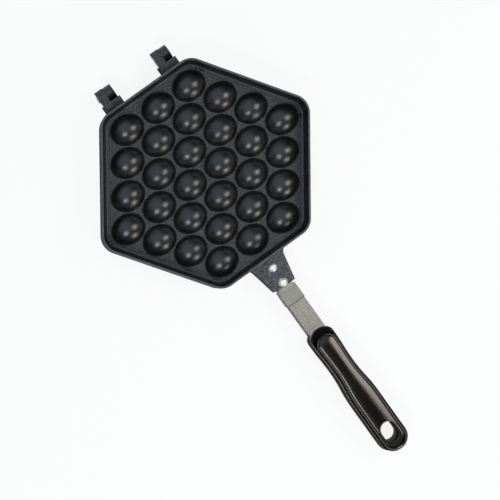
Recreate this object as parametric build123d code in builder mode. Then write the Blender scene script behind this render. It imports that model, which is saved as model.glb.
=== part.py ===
from build123d import *
import os
from math import atan2, cos, degrees, radians, sin, sqrt, tan

# Egg waffle pan: two equal castings, hinged along one side of their hexagon, each with a riveted
# steel strap and a moulded grip. Millimetres. The pan lies closed on its lower rim: Z is up, the
# hinge is towards +Y, the grips are towards -Y, and the origin is under the middle of the pan.

os.makedirs("parts", exist_ok=True)

# Cells: rows of oval bubbles across the pan, from the hinge side to the handle side
row_counts = (3, 4, 5, 6, 5, 4, 3)
pitch_x = 32.06  # cell to cell along a row
pitch_y = 22.86  # row to row
cell_half_length = 13.7  # inside a cell, along X
cell_radius = 11.3  # inside a cell, in its round cross section
cell_wall = 2.2

# Casting of one half. Heights are measured from the parting plane between the halves.
rim_height = 18.0
rim_foot = 4.3  # thickness of the rim where it meets the plate
rim_top = 1.8  # and at its edge
rim_edge_fillet = 0.5
rim_foot_fillet = 1.2
flat_margin = 2.9  # plate between the outermost domes and the rim, on the hinge and handle sides
slant_margin = 3.7  # and on the four slanted sides
corner_radius = 16.0
plate_face = 4.0  # outer face of the plate
cooking_recess = 1.25  # half of the thin web between the bubbles
contact_land = 6.0  # width of the face on which the two rims meet
closing_gap = 0.3  # left between the two rims

# Hinge: each lug has a long arm and a short block, and the other half's arm lies in the gap
lug_centre = 28.65  # pan centre to lug centre, along X
lug_width = 16.7
arm_width = 7.4
block_depth = 7.3  # rim to the end of the short block
knuckle_radius = 6.4
knuckle_gap = 0.3  # between a knuckle and the other half's block
arm_side_gap = 0.3  # between two arms on one pin
lug_edge_fillet = 1.0

# Hinge pins
pin_radius = 2.8
pin_running_gap = 0.05
pin_length = 15.4
pin_end_chamfer = 0.5
left_pin_proud = 1.2  # the left pin has crept out of its lug
right_pin_proud = 0.15

# Handle tab on the casting
tab_end_width = 20.2
tab_flare = 11.5  # degrees, each side
tab_root_fillet = 6.7
tab_corner_radius = 1.2
tab_thickness = 4.4  # over the strap
tab_cheek = 2.4  # the sides reach this far down past the strap's outer face

# Rivets
rivet_offset = 8.9  # rim to the first rivet
rivet_spacing = 15.4
rivet_edge = 4.0  # second rivet to the tab's end
rivet_shank_radius = 2.3
rivet_head_radius = 4.15
rivet_head_height = 2.3
rivet_tail_radius = 3.7
rivet_tail_height = 1.0

# Strap
strap_level = 1.6  # inner face of the strap, under the tab
strap_thickness = 2.0
strap_end_gap = 1.2  # rim to the strap's end
channel_gap = 0.15  # each side of the strap in the tab
tongue_width = 13.6  # under the tab
step_width = 17.0  # between the two bends
strap_width = 15.7  # from the second bend on
tongue_reach = 2.0  # tab's end to the shoulders
bend_start = 3.2  # tab's end to the first bend
joggle_length = 13.4
joggle_rise = 3.0
bend_radius = 2.5
strap_free = 29.4  # second bend to the grip
tang_length = 46.0
tang_hole_radius = 2.3

# Grip
grip_length = 127.9
grip_level = 0.75  # inner face of the grip
flange_height = 7.0
grip_height = 16.4
flange_front_half = 11.5
flange_front_round = 9.0
flange_waist_half = 10.5
flange_eye_half = 12.9
body_inset_front = 6.8
body_front_half = 8.3
body_front_round = 7.2
body_waist_half = 7.5
body_eye_half = 10.1
waist_offset = 39.5  # grip's front to its waist
swell_offset = 75.0  # grip's front to where it reaches its full width
flange_fillet = 1.8
body_fillet = 5.2
inner_edge_fillet = 1.0
tang_gap = 0.1
hang_hole_width = 14.4
hang_hole_length = 21.2
hang_hole_wall = 8.0  # past the hole, at the grip's end

# Grip screw
screw_offset = 24.0  # grip's front to the screw
screw_radius = 2.0
screw_length = 10.5
screw_head_radius = 3.6
screw_head_height = 2.4
screw_head_gap = 0.2
screw_sink = 0.4  # the head lies this far inside the grip's face
screw_head_chamfer = 0.6


def oval_arcs(half_length, half_width):
    """Four-arc oval whose arcs meet at 45 degrees: distance of the arcs' centres from the
    middle, radius of the arcs at its ends and radius of the arcs at its sides."""
    centre = (half_length - half_width) / (2 - sqrt(2))
    return centre, half_length - centre, half_width + centre


# Worked out from the sizes above
parting = rim_height + closing_gap / 2
half_gap = closing_gap / 2
side_shift = lug_width - 2 * arm_width - arm_side_gap  # the halves lie shifted along the pins
upper_x = side_shift / 2
slant_angle = degrees(atan2(pitch_y, pitch_x / 2))
slant_x = sin(radians(slant_angle))
slant_y = cos(radians(slant_angle))
dome_radius = cell_radius + cell_wall
dome_half_length = cell_half_length + cell_wall
dome_centre, dome_end_radius, _ = oval_arcs(dome_half_length, dome_radius)
dome_base_half_width = sqrt(dome_radius**2 - plate_face**2)
dome_base_end_radius = sqrt(dome_end_radius**2 - plate_face**2)
last_row_y = pitch_y * (len(row_counts) - 1) / 2
widest_row_x = pitch_x * (max(row_counts) - 1) / 2
flat_reach = last_row_y + dome_base_half_width + flat_margin + rim_foot
last_dome_slant_reach = (widest_row_x + dome_centre) * slant_x + dome_base_end_radius
slant_reach = last_dome_slant_reach + slant_margin + rim_foot
hinge_y = flat_reach + block_depth + knuckle_gap + knuckle_radius
tab_length = rivet_offset + rivet_spacing + rivet_edge
tab_end_y = -(flat_reach + tab_length)
tab_root_half = tab_end_width / 2 + tab_length * tan(radians(tab_flare))
rivet_rows = {"rear": -(flat_reach + rivet_offset), "front": -(flat_reach + rivet_offset + rivet_spacing)}
strap_outer = strap_level + strap_thickness
tab_face = strap_outer + tab_thickness
first_bend_y = tab_end_y - bend_start
second_bend_y = first_bend_y - joggle_length
grip_front_y = second_bend_y - strap_free
grip_end_y = grip_front_y - grip_length
grip_eye_y = grip_end_y + flange_eye_half
hole_end_y = grip_end_y + hang_hole_wall
hole_centre_y = hole_end_y + hang_hole_length / 2
tang_end_y = grip_front_y - tang_length
tang_level = strap_level + joggle_rise
rivet_dome_radius = (rivet_head_radius**2 + rivet_head_height**2) / (2 * rivet_head_height)
screw_y = grip_front_y - screw_offset
screw_seat = grip_level + screw_sink + screw_head_height

cell_points = [
    (pitch_x * (column - (count - 1) / 2), last_row_y - pitch_y * row)
    for row, count in enumerate(row_counts)
    for column in range(count)
]


def level(height):
    """Horizontal plane of the upper half, at a height above the parting plane."""
    return Plane((upper_x, 0, parting + height))


def hexagon_corners():
    """Sharp corners of the rim's outline, from the right-hand one round to the left."""
    corner_x = (slant_reach - flat_reach * slant_y) / slant_x
    side_x = slant_reach / slant_x
    upper = [(side_x, 0), (corner_x, flat_reach), (-corner_x, flat_reach), (-side_x, 0)]
    return upper + [(-corner_x, -flat_reach), (corner_x, -flat_reach)]


def half_bubble(half_length, radius, base):
    """Oval bubble along X whose middle is at the origin, cut off flat at a height."""
    centre, end_radius, side_radius = oval_arcs(half_length, radius)
    with BuildPart() as bubble:
        with BuildSketch(Plane.XY):
            with BuildLine():
                CenterArc((centre, 0), end_radius, 0, arc_size=45)
                CenterArc((0, -centre), side_radius, 45, arc_size=90)
                CenterArc((-centre, 0), end_radius, 135, arc_size=45)
                Line((-half_length, 0), (half_length, 0))
            make_face()
        revolve(axis=Axis.X)
        split(bisect_by=Plane.XY.offset(base))
    return bubble.part


def turned_over(part):
    """The same piece on the lower half: turned half a turn about the handle's axis."""
    return part.rotate(Axis((0, 0, parting), (0, 1, 0)), 180)


def finish(name, part):
    """Label one finished piece and write its file."""
    part.label = name
    export_step(part, f"parts/{name}.step")


# --- Casting of one half -----------------------------------------------------------------------

with BuildSketch(Plane.XY) as rim_outline:
    Polygon(*hexagon_corners(), align=None)
    fillet(rim_outline.vertices(), radius=corner_radius)

with BuildSketch(Plane.XY) as rim_foot_outline:
    add(rim_outline.sketch)
    offset(amount=-rim_foot, mode=Mode.REPLACE)

with BuildSketch(Plane.XY) as rim_top_outline:
    add(rim_outline.sketch)
    offset(amount=-rim_top, mode=Mode.REPLACE)

with BuildSketch(Plane.XY) as cooking_outline:
    add(rim_outline.sketch)
    offset(amount=-contact_land, mode=Mode.REPLACE)

dome = half_bubble(dome_half_length, dome_radius, (plate_face + cooking_recess) / 2)
cell = half_bubble(cell_half_length, cell_radius, 0)

with BuildPart() as casting:
    # rim and plate
    with BuildSketch(level(half_gap)):
        add(rim_outline.sketch)
    extrude(amount=rim_height)
    fillet(casting.faces().sort_by(Axis.Z)[-1].outer_wire().edges(), radius=rim_edge_fillet)
    with BuildSketch(level(plate_face)):
        add(rim_foot_outline.sketch)
    with BuildSketch(level(rim_height + half_gap)):
        add(rim_top_outline.sketch)
    loft(mode=Mode.SUBTRACT)
    plate_top = casting.faces().filter_by(GeomType.PLANE).filter_by(Axis.Z).sort_by(Axis.Z)[-2]
    fillet(plate_top.outer_wire().edges(), radius=rim_foot_fillet)
    with BuildSketch(level(0)):
        add(cooking_outline.sketch)
    extrude(amount=cooking_recess, mode=Mode.SUBTRACT)

    # handle tab, flared into the rim, with the strap's channel on its inner side
    root_half = tab_root_half + 2 * tab_root_fillet
    root_y = -(flat_reach - rim_top)
    with BuildSketch(level(strap_outer - tab_cheek)) as tab_outline:
        Polygon(
            (root_half, root_y),
            (-root_half, root_y),
            (-root_half, -flat_reach),
            (-tab_root_half, -flat_reach),
            (-tab_end_width / 2, tab_end_y),
            (tab_end_width / 2, tab_end_y),
            (tab_root_half, -flat_reach),
            (root_half, -flat_reach),
            align=None,
        )
        end_corners = tab_outline.vertices().group_by(Axis.Y)[0]
        root_corners = tab_outline.vertices().group_by(Axis.Y)[1].sort_by(Axis.X)[1:3]
        fillet(end_corners, radius=tab_corner_radius)
        fillet(root_corners, radius=tab_root_fillet)
    extrude(amount=tab_thickness + tab_cheek)
    with BuildSketch(level(strap_outer)):
        with Locations((0, -(flat_reach + strap_end_gap - channel_gap))):
            Rectangle(tongue_width + 2 * channel_gap, tab_length, align=(Align.CENTER, Align.MAX))
    extrude(amount=-tab_cheek, mode=Mode.SUBTRACT)
    with BuildSketch(level(strap_outer)):
        with Locations(*[(0, y) for y in rivet_rows.values()]):
            Circle(rivet_shank_radius)
    extrude(amount=tab_thickness, mode=Mode.SUBTRACT)

    # hinge lugs: a block over the whole lug, and an arm with a round knuckle on its left part
    for side in (-1, 1):
        lug_left = side * lug_centre - lug_width / 2
        with BuildSketch(level(half_gap)) as block_outline:
            with Locations((lug_left, flat_reach - rim_top)):
                Rectangle(lug_width, block_depth + rim_top, align=(Align.MIN, Align.MIN))
            fillet(block_outline.vertices().group_by(Axis.Y)[-1], radius=lug_edge_fillet)
        extrude(amount=knuckle_radius - half_gap)
        arm_plane = Plane((upper_x + lug_left, 0, parting), x_dir=(0, 1, 0), z_dir=(1, 0, 0))
        with BuildSketch(arm_plane):
            with Locations((flat_reach, half_gap)):
                Rectangle(
                    hinge_y - flat_reach,
                    knuckle_radius - half_gap,
                    align=(Align.MIN, Align.MIN),
                )
            with Locations((hinge_y, 0)):
                Circle(knuckle_radius)
                Rectangle(knuckle_radius, knuckle_radius, align=(Align.MIN, Align.MIN))
        extrude(amount=arm_width)

    # bubbles: all domes on the outside, then all cells on the inside
    with Locations(*[(upper_x + x, y, parting) for x, y in cell_points]):
        add(dome)
    with Locations(*[(upper_x + x, y, parting) for x, y in cell_points]):
        add(cell, mode=Mode.SUBTRACT)


def bored(part, radius):
    """The casting with its pin holes drilled to a radius."""
    with BuildPart() as drilled:
        add(part)
        with Locations(Plane((0, hinge_y, parting), x_dir=(0, 1, 0), z_dir=(1, 0, 0))):
            Cylinder(radius, 2 * (lug_centre + lug_width), mode=Mode.SUBTRACT)
    return drilled.part


finish("upper_plate", bored(casting.part, pin_radius + pin_running_gap))
finish("lower_plate", bored(turned_over(casting.part), pin_radius))

# --- Hinge pins --------------------------------------------------------------------------------

# Each pin starts at the left face of the upper half's arm and passes through both arms.
for name, side, proud in (("left", -1, left_pin_proud), ("right", 1, right_pin_proud)):
    pin_left = upper_x + side * lug_centre - lug_width / 2 - proud
    with BuildPart() as hinge_pin:
        with BuildSketch(Plane((pin_left, hinge_y, parting), x_dir=(0, 1, 0), z_dir=(1, 0, 0))):
            Circle(pin_radius)
        extrude(amount=pin_length)
        chamfer(hinge_pin.edges().filter_by(GeomType.CIRCLE), length=pin_end_chamfer)
    finish(f"{name}_hinge_pin", hinge_pin.part)

# --- Strap -------------------------------------------------------------------------------------

with BuildPart() as strap:
    # side view: flat under the tab, a joggle outwards, flat again into the grip
    side_view = Plane((upper_x - step_width / 2, 0, parting), x_dir=(0, 1, 0), z_dir=(1, 0, 0))
    strap_start_y = -(flat_reach + strap_end_gap)
    with BuildSketch(side_view):
        with BuildLine():
            inner_face = FilletPolyline(
                (strap_start_y, strap_level),
                (first_bend_y, strap_level),
                (second_bend_y, tang_level),
                (tang_end_y, tang_level),
                radius=bend_radius,
            )
            outer_face = FilletPolyline(
                (strap_start_y, strap_outer),
                (first_bend_y, strap_outer),
                (second_bend_y, tang_level + strap_thickness),
                (tang_end_y, tang_level + strap_thickness),
                radius=bend_radius,
            )
            Line(inner_face @ 0, outer_face @ 0)
            Line(inner_face @ 1, outer_face @ 1)
        make_face()
    extrude(amount=step_width)
    # plan view: tongue, wide step, strap
    shoulder_y = tab_end_y - tongue_reach
    with BuildSketch(level(0)):
        with Locations((0, strap_start_y)):
            Rectangle(tongue_width, strap_start_y - shoulder_y, align=(Align.CENTER, Align.MAX))
        with Locations((0, shoulder_y)):
            Rectangle(step_width, shoulder_y - second_bend_y, align=(Align.CENTER, Align.MAX))
        with Locations((0, second_bend_y)):
            Rectangle(strap_width, second_bend_y - tang_end_y, align=(Align.CENTER, Align.MAX))
        with Locations(*[(0, y) for y in rivet_rows.values()]):
            Circle(rivet_shank_radius, mode=Mode.SUBTRACT)
        with Locations((0, screw_y)):
            Circle(tang_hole_radius, mode=Mode.SUBTRACT)
    extrude(amount=grip_height, mode=Mode.INTERSECT)

finish("upper_strap", strap.part)
finish("lower_strap", turned_over(strap.part))

# --- Rivets ------------------------------------------------------------------------------------

# Domed head on the tab, shank through tab and strap, flat tail under the strap
for name, y in rivet_rows.items():
    rivet_plane = Plane((upper_x, y, parting), x_dir=(1, 0, 0), z_dir=(0, -1, 0))
    with BuildPart() as rivet:
        with BuildSketch(rivet_plane):
            with BuildLine():
                Polyline(
                    (0, tab_face + rivet_head_height),
                    (0, strap_level - rivet_tail_height),
                    (rivet_tail_radius, strap_level - rivet_tail_height),
                    (rivet_tail_radius, strap_level),
                    (rivet_shank_radius, strap_level),
                    (rivet_shank_radius, tab_face),
                    (rivet_head_radius, tab_face),
                )
                head_top = (0, tab_face + rivet_head_height)
                RadiusArc((rivet_head_radius, tab_face), head_top, -rivet_dome_radius)
            make_face()
        revolve(axis=Axis((upper_x, y, 0), (0, 0, 1)))
    finish(f"upper_rivet_{name}", rivet.part)
    finish(f"lower_rivet_{name}", turned_over(rivet.part))

# --- Grip --------------------------------------------------------------------------------------


def grip_outline(front_y, front_round, front_half, waist_half, eye_half):
    """Plan view of the grip: oval front, slim waist, swell, round end about the eye's centre."""
    centre, corner_round, front_arc_radius = oval_arcs(front_half, front_round)
    shoulder_y = front_y - front_round
    waist_y = grip_front_y - waist_offset
    swell_y = grip_front_y - swell_offset
    front_bend = ((front_half + waist_half) / 2, (shoulder_y + waist_y) / 2)
    rear_bend = ((waist_half + eye_half) / 2, (waist_y + swell_y) / 2)
    with BuildSketch(Plane.XY) as outline:
        with BuildLine():
            CenterArc((0, shoulder_y - centre), front_arc_radius, 90, arc_size=-45)
            CenterArc((centre, shoulder_y), corner_round, 45, arc_size=-45)
            TangentArc((front_half, shoulder_y), front_bend, tangent=(0, -1))
            TangentArc((waist_half, waist_y), front_bend, tangent=(0, 1))
            TangentArc((waist_half, waist_y), rear_bend, tangent=(0, -1))
            TangentArc((eye_half, swell_y), rear_bend, tangent=(0, 1))
            Line((eye_half, swell_y), (eye_half, grip_eye_y))
            CenterArc((0, grip_eye_y), eye_half, 0, arc_size=-90)
            mirror(about=Plane.YZ)
        make_face()
    return outline.sketch


flange_outline = grip_outline(
    grip_front_y, flange_front_round, flange_front_half, flange_waist_half, flange_eye_half
)
body_outline = grip_outline(
    grip_front_y - body_inset_front, body_front_round, body_front_half, body_waist_half, body_eye_half
)

with BuildPart() as grip_body:
    with BuildSketch(level(grip_level)):
        add(body_outline)
    extrude(amount=grip_height)
    fillet(grip_body.faces().sort_by(Axis.Z)[-1].edges(), radius=body_fillet)

with BuildPart() as grip:
    with BuildSketch(level(grip_level)):
        add(flange_outline)
    extrude(amount=flange_height)
    fillet(grip.faces().sort_by(Axis.Z)[-1].edges(), radius=flange_fillet)
    fillet(grip.faces().sort_by(Axis.Z)[0].edges(), radius=inner_edge_fillet)
    add(grip_body.part)

    # eye, socket of the tang, hole and seat of the screw
    with BuildSketch(level(grip_level)):
        with Locations((0, hole_centre_y)):
            SlotOverall(hang_hole_length, hang_hole_width, rotation=90)
    extrude(amount=grip_height, mode=Mode.SUBTRACT)
    with BuildSketch(level(tang_level - tang_gap)):
        with Locations((0, grip_front_y)):
            Rectangle(strap_width + 2 * tang_gap, 2 * (tang_length + tang_gap))
    extrude(amount=strap_thickness + 2 * tang_gap, mode=Mode.SUBTRACT)
    with Locations(level(grip_level) * Location((0, screw_y, 0))):
        Cylinder(
            screw_head_radius + screw_head_gap,
            screw_seat - grip_level,
            align=(Align.CENTER, Align.CENTER, Align.MIN),
            mode=Mode.SUBTRACT,
        )
        Cylinder(
            screw_radius,
            screw_seat - grip_level + screw_length,
            align=(Align.CENTER, Align.CENTER, Align.MIN),
            mode=Mode.SUBTRACT,
        )

finish("upper_grip", grip.part)
finish("lower_grip", turned_over(grip.part))

# --- Grip screws -------------------------------------------------------------------------------

with BuildPart() as grip_screw:
    with Locations(level(screw_seat) * Location((0, screw_y, 0))):
        Cylinder(screw_radius, screw_length, align=(Align.CENTER, Align.CENTER, Align.MIN))
        Cylinder(screw_head_radius, screw_head_height, align=(Align.CENTER, Align.CENTER, Align.MAX))
    chamfer(grip_screw.faces().sort_by(Axis.Z)[0].edges(), length=screw_head_chamfer)

finish("upper_grip_screw", grip_screw.part)
finish("lower_grip_screw", turned_over(grip_screw.part))
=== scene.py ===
import math
from dataclasses import dataclass

import bmesh
import bpy
import numpy as np
from mathutils import Matrix, Vector
from mathutils.geometry import delaunay_2d_cdt


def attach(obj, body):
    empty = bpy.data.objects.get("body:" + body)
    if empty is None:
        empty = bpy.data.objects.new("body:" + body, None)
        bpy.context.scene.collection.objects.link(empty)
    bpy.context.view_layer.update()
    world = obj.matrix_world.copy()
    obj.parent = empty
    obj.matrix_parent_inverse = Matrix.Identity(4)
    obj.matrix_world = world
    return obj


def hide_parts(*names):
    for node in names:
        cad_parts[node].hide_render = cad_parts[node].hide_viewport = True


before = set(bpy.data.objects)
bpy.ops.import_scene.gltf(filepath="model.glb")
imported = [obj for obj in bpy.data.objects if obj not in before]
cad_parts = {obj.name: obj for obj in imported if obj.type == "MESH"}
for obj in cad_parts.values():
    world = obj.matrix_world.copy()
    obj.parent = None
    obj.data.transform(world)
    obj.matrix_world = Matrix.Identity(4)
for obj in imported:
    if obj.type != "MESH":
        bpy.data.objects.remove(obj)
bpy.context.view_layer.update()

# Egg waffle pan. Every piece is modelled as on the upper half and then turned over for the lower
# half, where only the lugs' bores differ. Sizes are in millimetres, as in the part's source, and
# become metres in new_mesh().
MM = 0.001
PARTING = 18.15
HALF_SHIFT = 0.8  # each half lies this far to one side of the middle

# Cells
ROW_COUNTS = (3, 4, 5, 6, 5, 4, 3)
PITCH_X = 32.06
PITCH_Y = 22.86
CELL_HALF_LENGTH = 13.7
CELL_RADIUS = 11.3
CELL_WALL = 2.2

# Casting, heights from the parting plane
HALF_GAP = 0.15
RIM_TOP_LEVEL = 18.15
RIM_FOOT = 4.3
RIM_TOP = 1.8
RIM_CORNER = 16.0
PLATE_LEVEL = 4.0
COOKING_LEVEL = 1.25
CONTACT_LAND = 6.0
FLAT_MARGIN = 2.9
SLANT_MARGIN = 3.7
TOP_FIELD_INSET = 5.7  # where the rim's foot has run out into the plate
COOKING_FIELD_INSET = 6.5
PROFILE_RADII = (0.25, 0.25, 0.45, 0.5, 0.35, 1.2)  # from the cooking side to the rim's foot

# Shallow round marks on the plate
MARK_RADIUS = 2.0
MARK_DEPTH = 0.14
MARK_EDGE = 0.2
MARK_SPOTS = ((51.5, 63.8), (84.0, 17.6))  # and mirrored in both axes

# Hinge
LUG_CENTRE = 28.65
LUG_WIDTH = 16.7
ARM_WIDTH = 7.4
BLOCK_DEPTH = 7.3
KNUCKLE_RADIUS = 6.4
KNUCKLE_GAP = 0.3
LUG_BEVEL = 1.0
LUG_OFFSET = 0.02  # keeps the faces of block, arm and rim apart where they would coincide
ARM_START = 1.0  # from the block's inner face
BORE_RADIUS = {"upper": 2.85, "lower": 2.8}

# Tab and strap
TAB_END_HALF = 10.1
TAB_FLARE = 11.5  # degrees
TAB_ROOT_FILLET = 6.7
TAB_CORNER = 1.2
TAB_LEVELS = (1.2, 8.0)
TAB_BEVEL = 0.7
TAB_OVERLAP = 0.06  # the tab's root lies this far inside the rim's wall
CHANNEL_GAP = 0.15
RIVET_OFFSET = 8.9
RIVET_SPACING = 15.4
SHANK_RADIUS = 2.3
TAB_LENGTH = 28.3
STRAP_LEVEL = 1.6
STRAP_THICKNESS = 2.0
STRAP_END_GAP = 1.2
STRAP_BEVEL = 0.22
BLANK_HALF = 9.0  # wider than the strap, before its plan is cut
TONGUE_WIDTH = 13.6
STEP_WIDTH = 17.0
STRAP_WIDTH = 15.7
TONGUE_REACH = 2.0
BEND_START = 3.2
JOGGLE_LENGTH = 13.4
JOGGLE_RISE = 3.0
BEND_RADIUS = 2.5
STRAP_FREE = 29.4
TANG_LENGTH = 46.0

# Grip, heights from the parting plane
GRIP_LENGTH = 127.9
GRIP_LEVEL = 0.75
FLANGE_TOP = 7.75
GRIP_TOP = 17.15
WAIST_OFFSET = 39.5
SWELL_OFFSET = 75.0
MIDDLE_OFFSET = 60.0
HOLE_WIDTH = 14.4
HOLE_LENGTH = 21.2
HOLE_WALL = 8.0
SCREW_OFFSET = 24.0
SCREW_RADIUS = 2.0
SCREW_TOP = 14.05
SEAT_RADIUS = 3.8
SEAT_TOP = 3.55
SOCKET_GAP = 0.1
FLANGE_INNER = 3.0  # from its outline to the last ring of its underside
FLANGE_ROUND = 0.8
LIP_WIDTH = 1.95
GROOVE_DEPTH = 0.75
GROOVE_FLOOR = 0.3  # the groove's floor begins this far outside the body
GROOVE_FALL = 0.1
BODY_FOOT = 0.2

# Crown of the grip's body
CROWN_REACH = 0.82  # share of the body's half width that is crown
CROWN_SAG = 1.0
CROWN_LEAN = 0.075  # its right side lies lower
CROWN_DROP = 0.09  # keeps its highest points under the grip's top
CROWN_STEPS = 12
SHOULDER_RADIUS = 2.8
SHOULDER_END = 88  # degrees
SHOULDER_STEPS = 10
NOMINAL_HALF = 8.6

# Heights between which an upright cutter passes through any piece, and how far one reaches past
# a piece lengthwise or sideways
THROUGH = (-2.0, 14.0)
PAST = 5.0
BEVEL_ANGLE = 40  # degrees; edges that turn less keep their shape
SHARP_ANGLE = 50  # degrees; edges that turn more are shaded sharp


def oval_arcs(half_length, half_width):
    """Four-arc oval: distance of its arcs' centres from the middle, end radius, side radius."""
    centre = (half_length - half_width) / (2 - math.sqrt(2))
    return centre, half_length - centre, half_width + centre


SLANT = math.atan2(PITCH_Y, PITCH_X / 2)
LAST_ROW_Y = PITCH_Y * (len(ROW_COUNTS) - 1) / 2
DOME = (CELL_HALF_LENGTH + CELL_WALL, CELL_RADIUS + CELL_WALL)
CELL = (CELL_HALF_LENGTH, CELL_RADIUS)
DOME_CENTRE, DOME_END_RADIUS, _ = oval_arcs(*DOME)
FLAT_REACH = LAST_ROW_Y + math.sqrt(DOME[1] ** 2 - PLATE_LEVEL**2) + FLAT_MARGIN + RIM_FOOT
SLANT_REACH = (
    (PITCH_X * (max(ROW_COUNTS) - 1) / 2 + DOME_CENTRE) * math.sin(SLANT)
    + math.sqrt(DOME_END_RADIUS**2 - PLATE_LEVEL**2)
    + SLANT_MARGIN
    + RIM_FOOT
)
HINGE_Y = FLAT_REACH + BLOCK_DEPTH + KNUCKLE_GAP + KNUCKLE_RADIUS
RIVET_YS = (-(FLAT_REACH + RIVET_OFFSET), -(FLAT_REACH + RIVET_OFFSET + RIVET_SPACING))
TAB_END_Y = -(FLAT_REACH + TAB_LENGTH)
FIRST_BEND_Y = TAB_END_Y - BEND_START
SECOND_BEND_Y = FIRST_BEND_Y - JOGGLE_LENGTH
GRIP_FRONT_Y = SECOND_BEND_Y - STRAP_FREE
GRIP_END_Y = GRIP_FRONT_Y - GRIP_LENGTH
HOLE_CENTRE_Y = GRIP_END_Y + HOLE_WALL + HOLE_LENGTH / 2
HOLE_STRAIGHT = (HOLE_LENGTH - HOLE_WIDTH) / 2
CELL_POINTS = [
    (PITCH_X * (column - (count - 1) / 2), LAST_ROW_Y - PITCH_Y * row)
    for row, count in enumerate(ROW_COUNTS)
    for column in range(count)
]
MARKS = [(sx * x, sy * y) for x, y in MARK_SPOTS for sx in (-1, 1) for sy in (-1, 1)]

# --- Materials ---------------------------------------------------------------------------------


class Nodes:
    """A material with its principled shader, and short calls for the nodes that feed it."""

    def __init__(self, name):
        self.material = bpy.data.materials.new(name)
        self.material.use_nodes = True
        self.tree = self.material.node_tree
        self.shader = self.tree.nodes["Principled BSDF"]
        self.point = self.add("ShaderNodeTexCoord").outputs["Object"]

    def add(self, kind, **settings):
        node = self.tree.nodes.new(kind)
        for key, value in settings.items():
            setattr(node, key, value)
        return node

    def link(self, source, target):
        self.tree.links.new(source, target)

    def stretched(self, scale):
        mapping = self.add("ShaderNodeMapping")
        mapping.inputs["Scale"].default_value = scale
        self.link(self.point, mapping.inputs["Vector"])
        return mapping.outputs["Vector"]

    def noise(self, scale, detail, vector=None):
        node = self.add("ShaderNodeTexNoise")
        node.inputs["Scale"].default_value = scale
        node.inputs["Detail"].default_value = detail
        self.link(vector or self.point, node.inputs["Vector"])
        return node.outputs["Fac"]

    def remap(self, value, low, high, out_low=0.0, out_high=1.0):
        node = self.add("ShaderNodeMapRange", clamp=True)
        numbers = {"From Min": low, "From Max": high, "To Min": out_low, "To Max": out_high}
        for key, number in numbers.items():
            node.inputs[key].default_value = number
        self.link(value, node.inputs["Value"])
        return node.outputs["Result"]

    def rise(self, value, limits):
        """From 0 to 1 between two limits in millimetres."""
        return self.remap(value, limits[0] * MM, limits[1] * MM)

    def fall(self, value, limits):
        """From 1 to 0 between two limits in millimetres."""
        return self.remap(value, limits[0] * MM, limits[1] * MM, 1.0, 0.0)

    def math(self, operation, first, second=0.0):
        node = self.add("ShaderNodeMath", operation=operation)
        for socket, value in zip(node.inputs, (first, second)):
            if isinstance(value, (int, float)):
                socket.default_value = value
            else:
                self.link(value, socket)
        return node.outputs["Value"]

    def length(self, first, second):
        squares = [self.math("POWER", side, 2.0) for side in (first, second)]
        return self.math("SQRT", self.math("ADD", *squares))

    def away(self, value, distance):
        """How far a coordinate is from a place given in millimetres."""
        return self.math("ABSOLUTE", self.math("SUBTRACT", value, distance * MM))

    def mix(self, factor, first, second):
        node = self.add("ShaderNodeMix", data_type="RGBA")
        self.link(factor, node.inputs["Factor"])
        for socket, colour in ((node.inputs[6], first), (node.inputs[7], second)):
            if isinstance(colour, tuple):
                socket.default_value = (*colour, 1.0)
            else:
                self.link(colour, socket)
        return node.outputs[2]

    def axes(self, vector=None):
        """Outputs X, Y and Z of a vector, or else of the point."""
        node = self.add("ShaderNodeSeparateXYZ")
        self.link(vector or self.point, node.inputs[0])
        return node.outputs

    def bump(self, height, strength, distance, before=None):
        node = self.add("ShaderNodeBump")
        node.inputs["Strength"].default_value = strength
        node.inputs["Distance"].default_value = distance
        self.link(height, node.inputs["Height"])
        if before:
            self.link(before, node.inputs["Normal"])
        return node.outputs["Normal"]

    def finish(self, colour, roughness, normal, **constants):
        self.link(colour, self.shader.inputs["Base Color"])
        self.link(roughness, self.shader.inputs["Roughness"])
        self.link(normal, self.shader.inputs["Normal"])
        for name, value in constants.items():
            self.shader.inputs[name.replace("_", " ")].default_value = value
        return self.material


# Limits between the zones of the coating, in millimetres
RIM_EDGE = (-0.4, -0.1)  # inside the rim's outline; tab and lugs lie beyond
BARREL_EDGE = (6.45, 6.52)  # from the hinge's axis
RAISED_EDGE = (4.5, 5.8)  # from the parting plane
TAB_EDGE = (-90.5, -89.0)  # along Y
# The rim's top is painted lighter, partly as wear and partly as a painted highlight of its edge;
# along the rim's foot the lighter band is a painted highlight only.
TOP_WEAR_AND_HIGHLIGHT = (17.88, 18.12)  # from the parting plane
FOOT_HIGHLIGHT = ((3.7, 4.4), (4.9, 5.8))  # start and end, inside the rim's outline
FOOT_LEVEL = (4.6, 5.4)  # from the parting plane
LEVEL_FACE = (0.985, 0.998)  # upward share of the normal

# The same for strap and grip
# Painted shade across the strap at its second bend:
BEND_SHADE_EDGE = (0.3, 0.9)  # from the second bend
EYE_EDGE = (0.85, 1.1)  # outside the hang hole's wall
FACE_EDGE = (0.1, 0.3)  # above the grip's flat face


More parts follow.
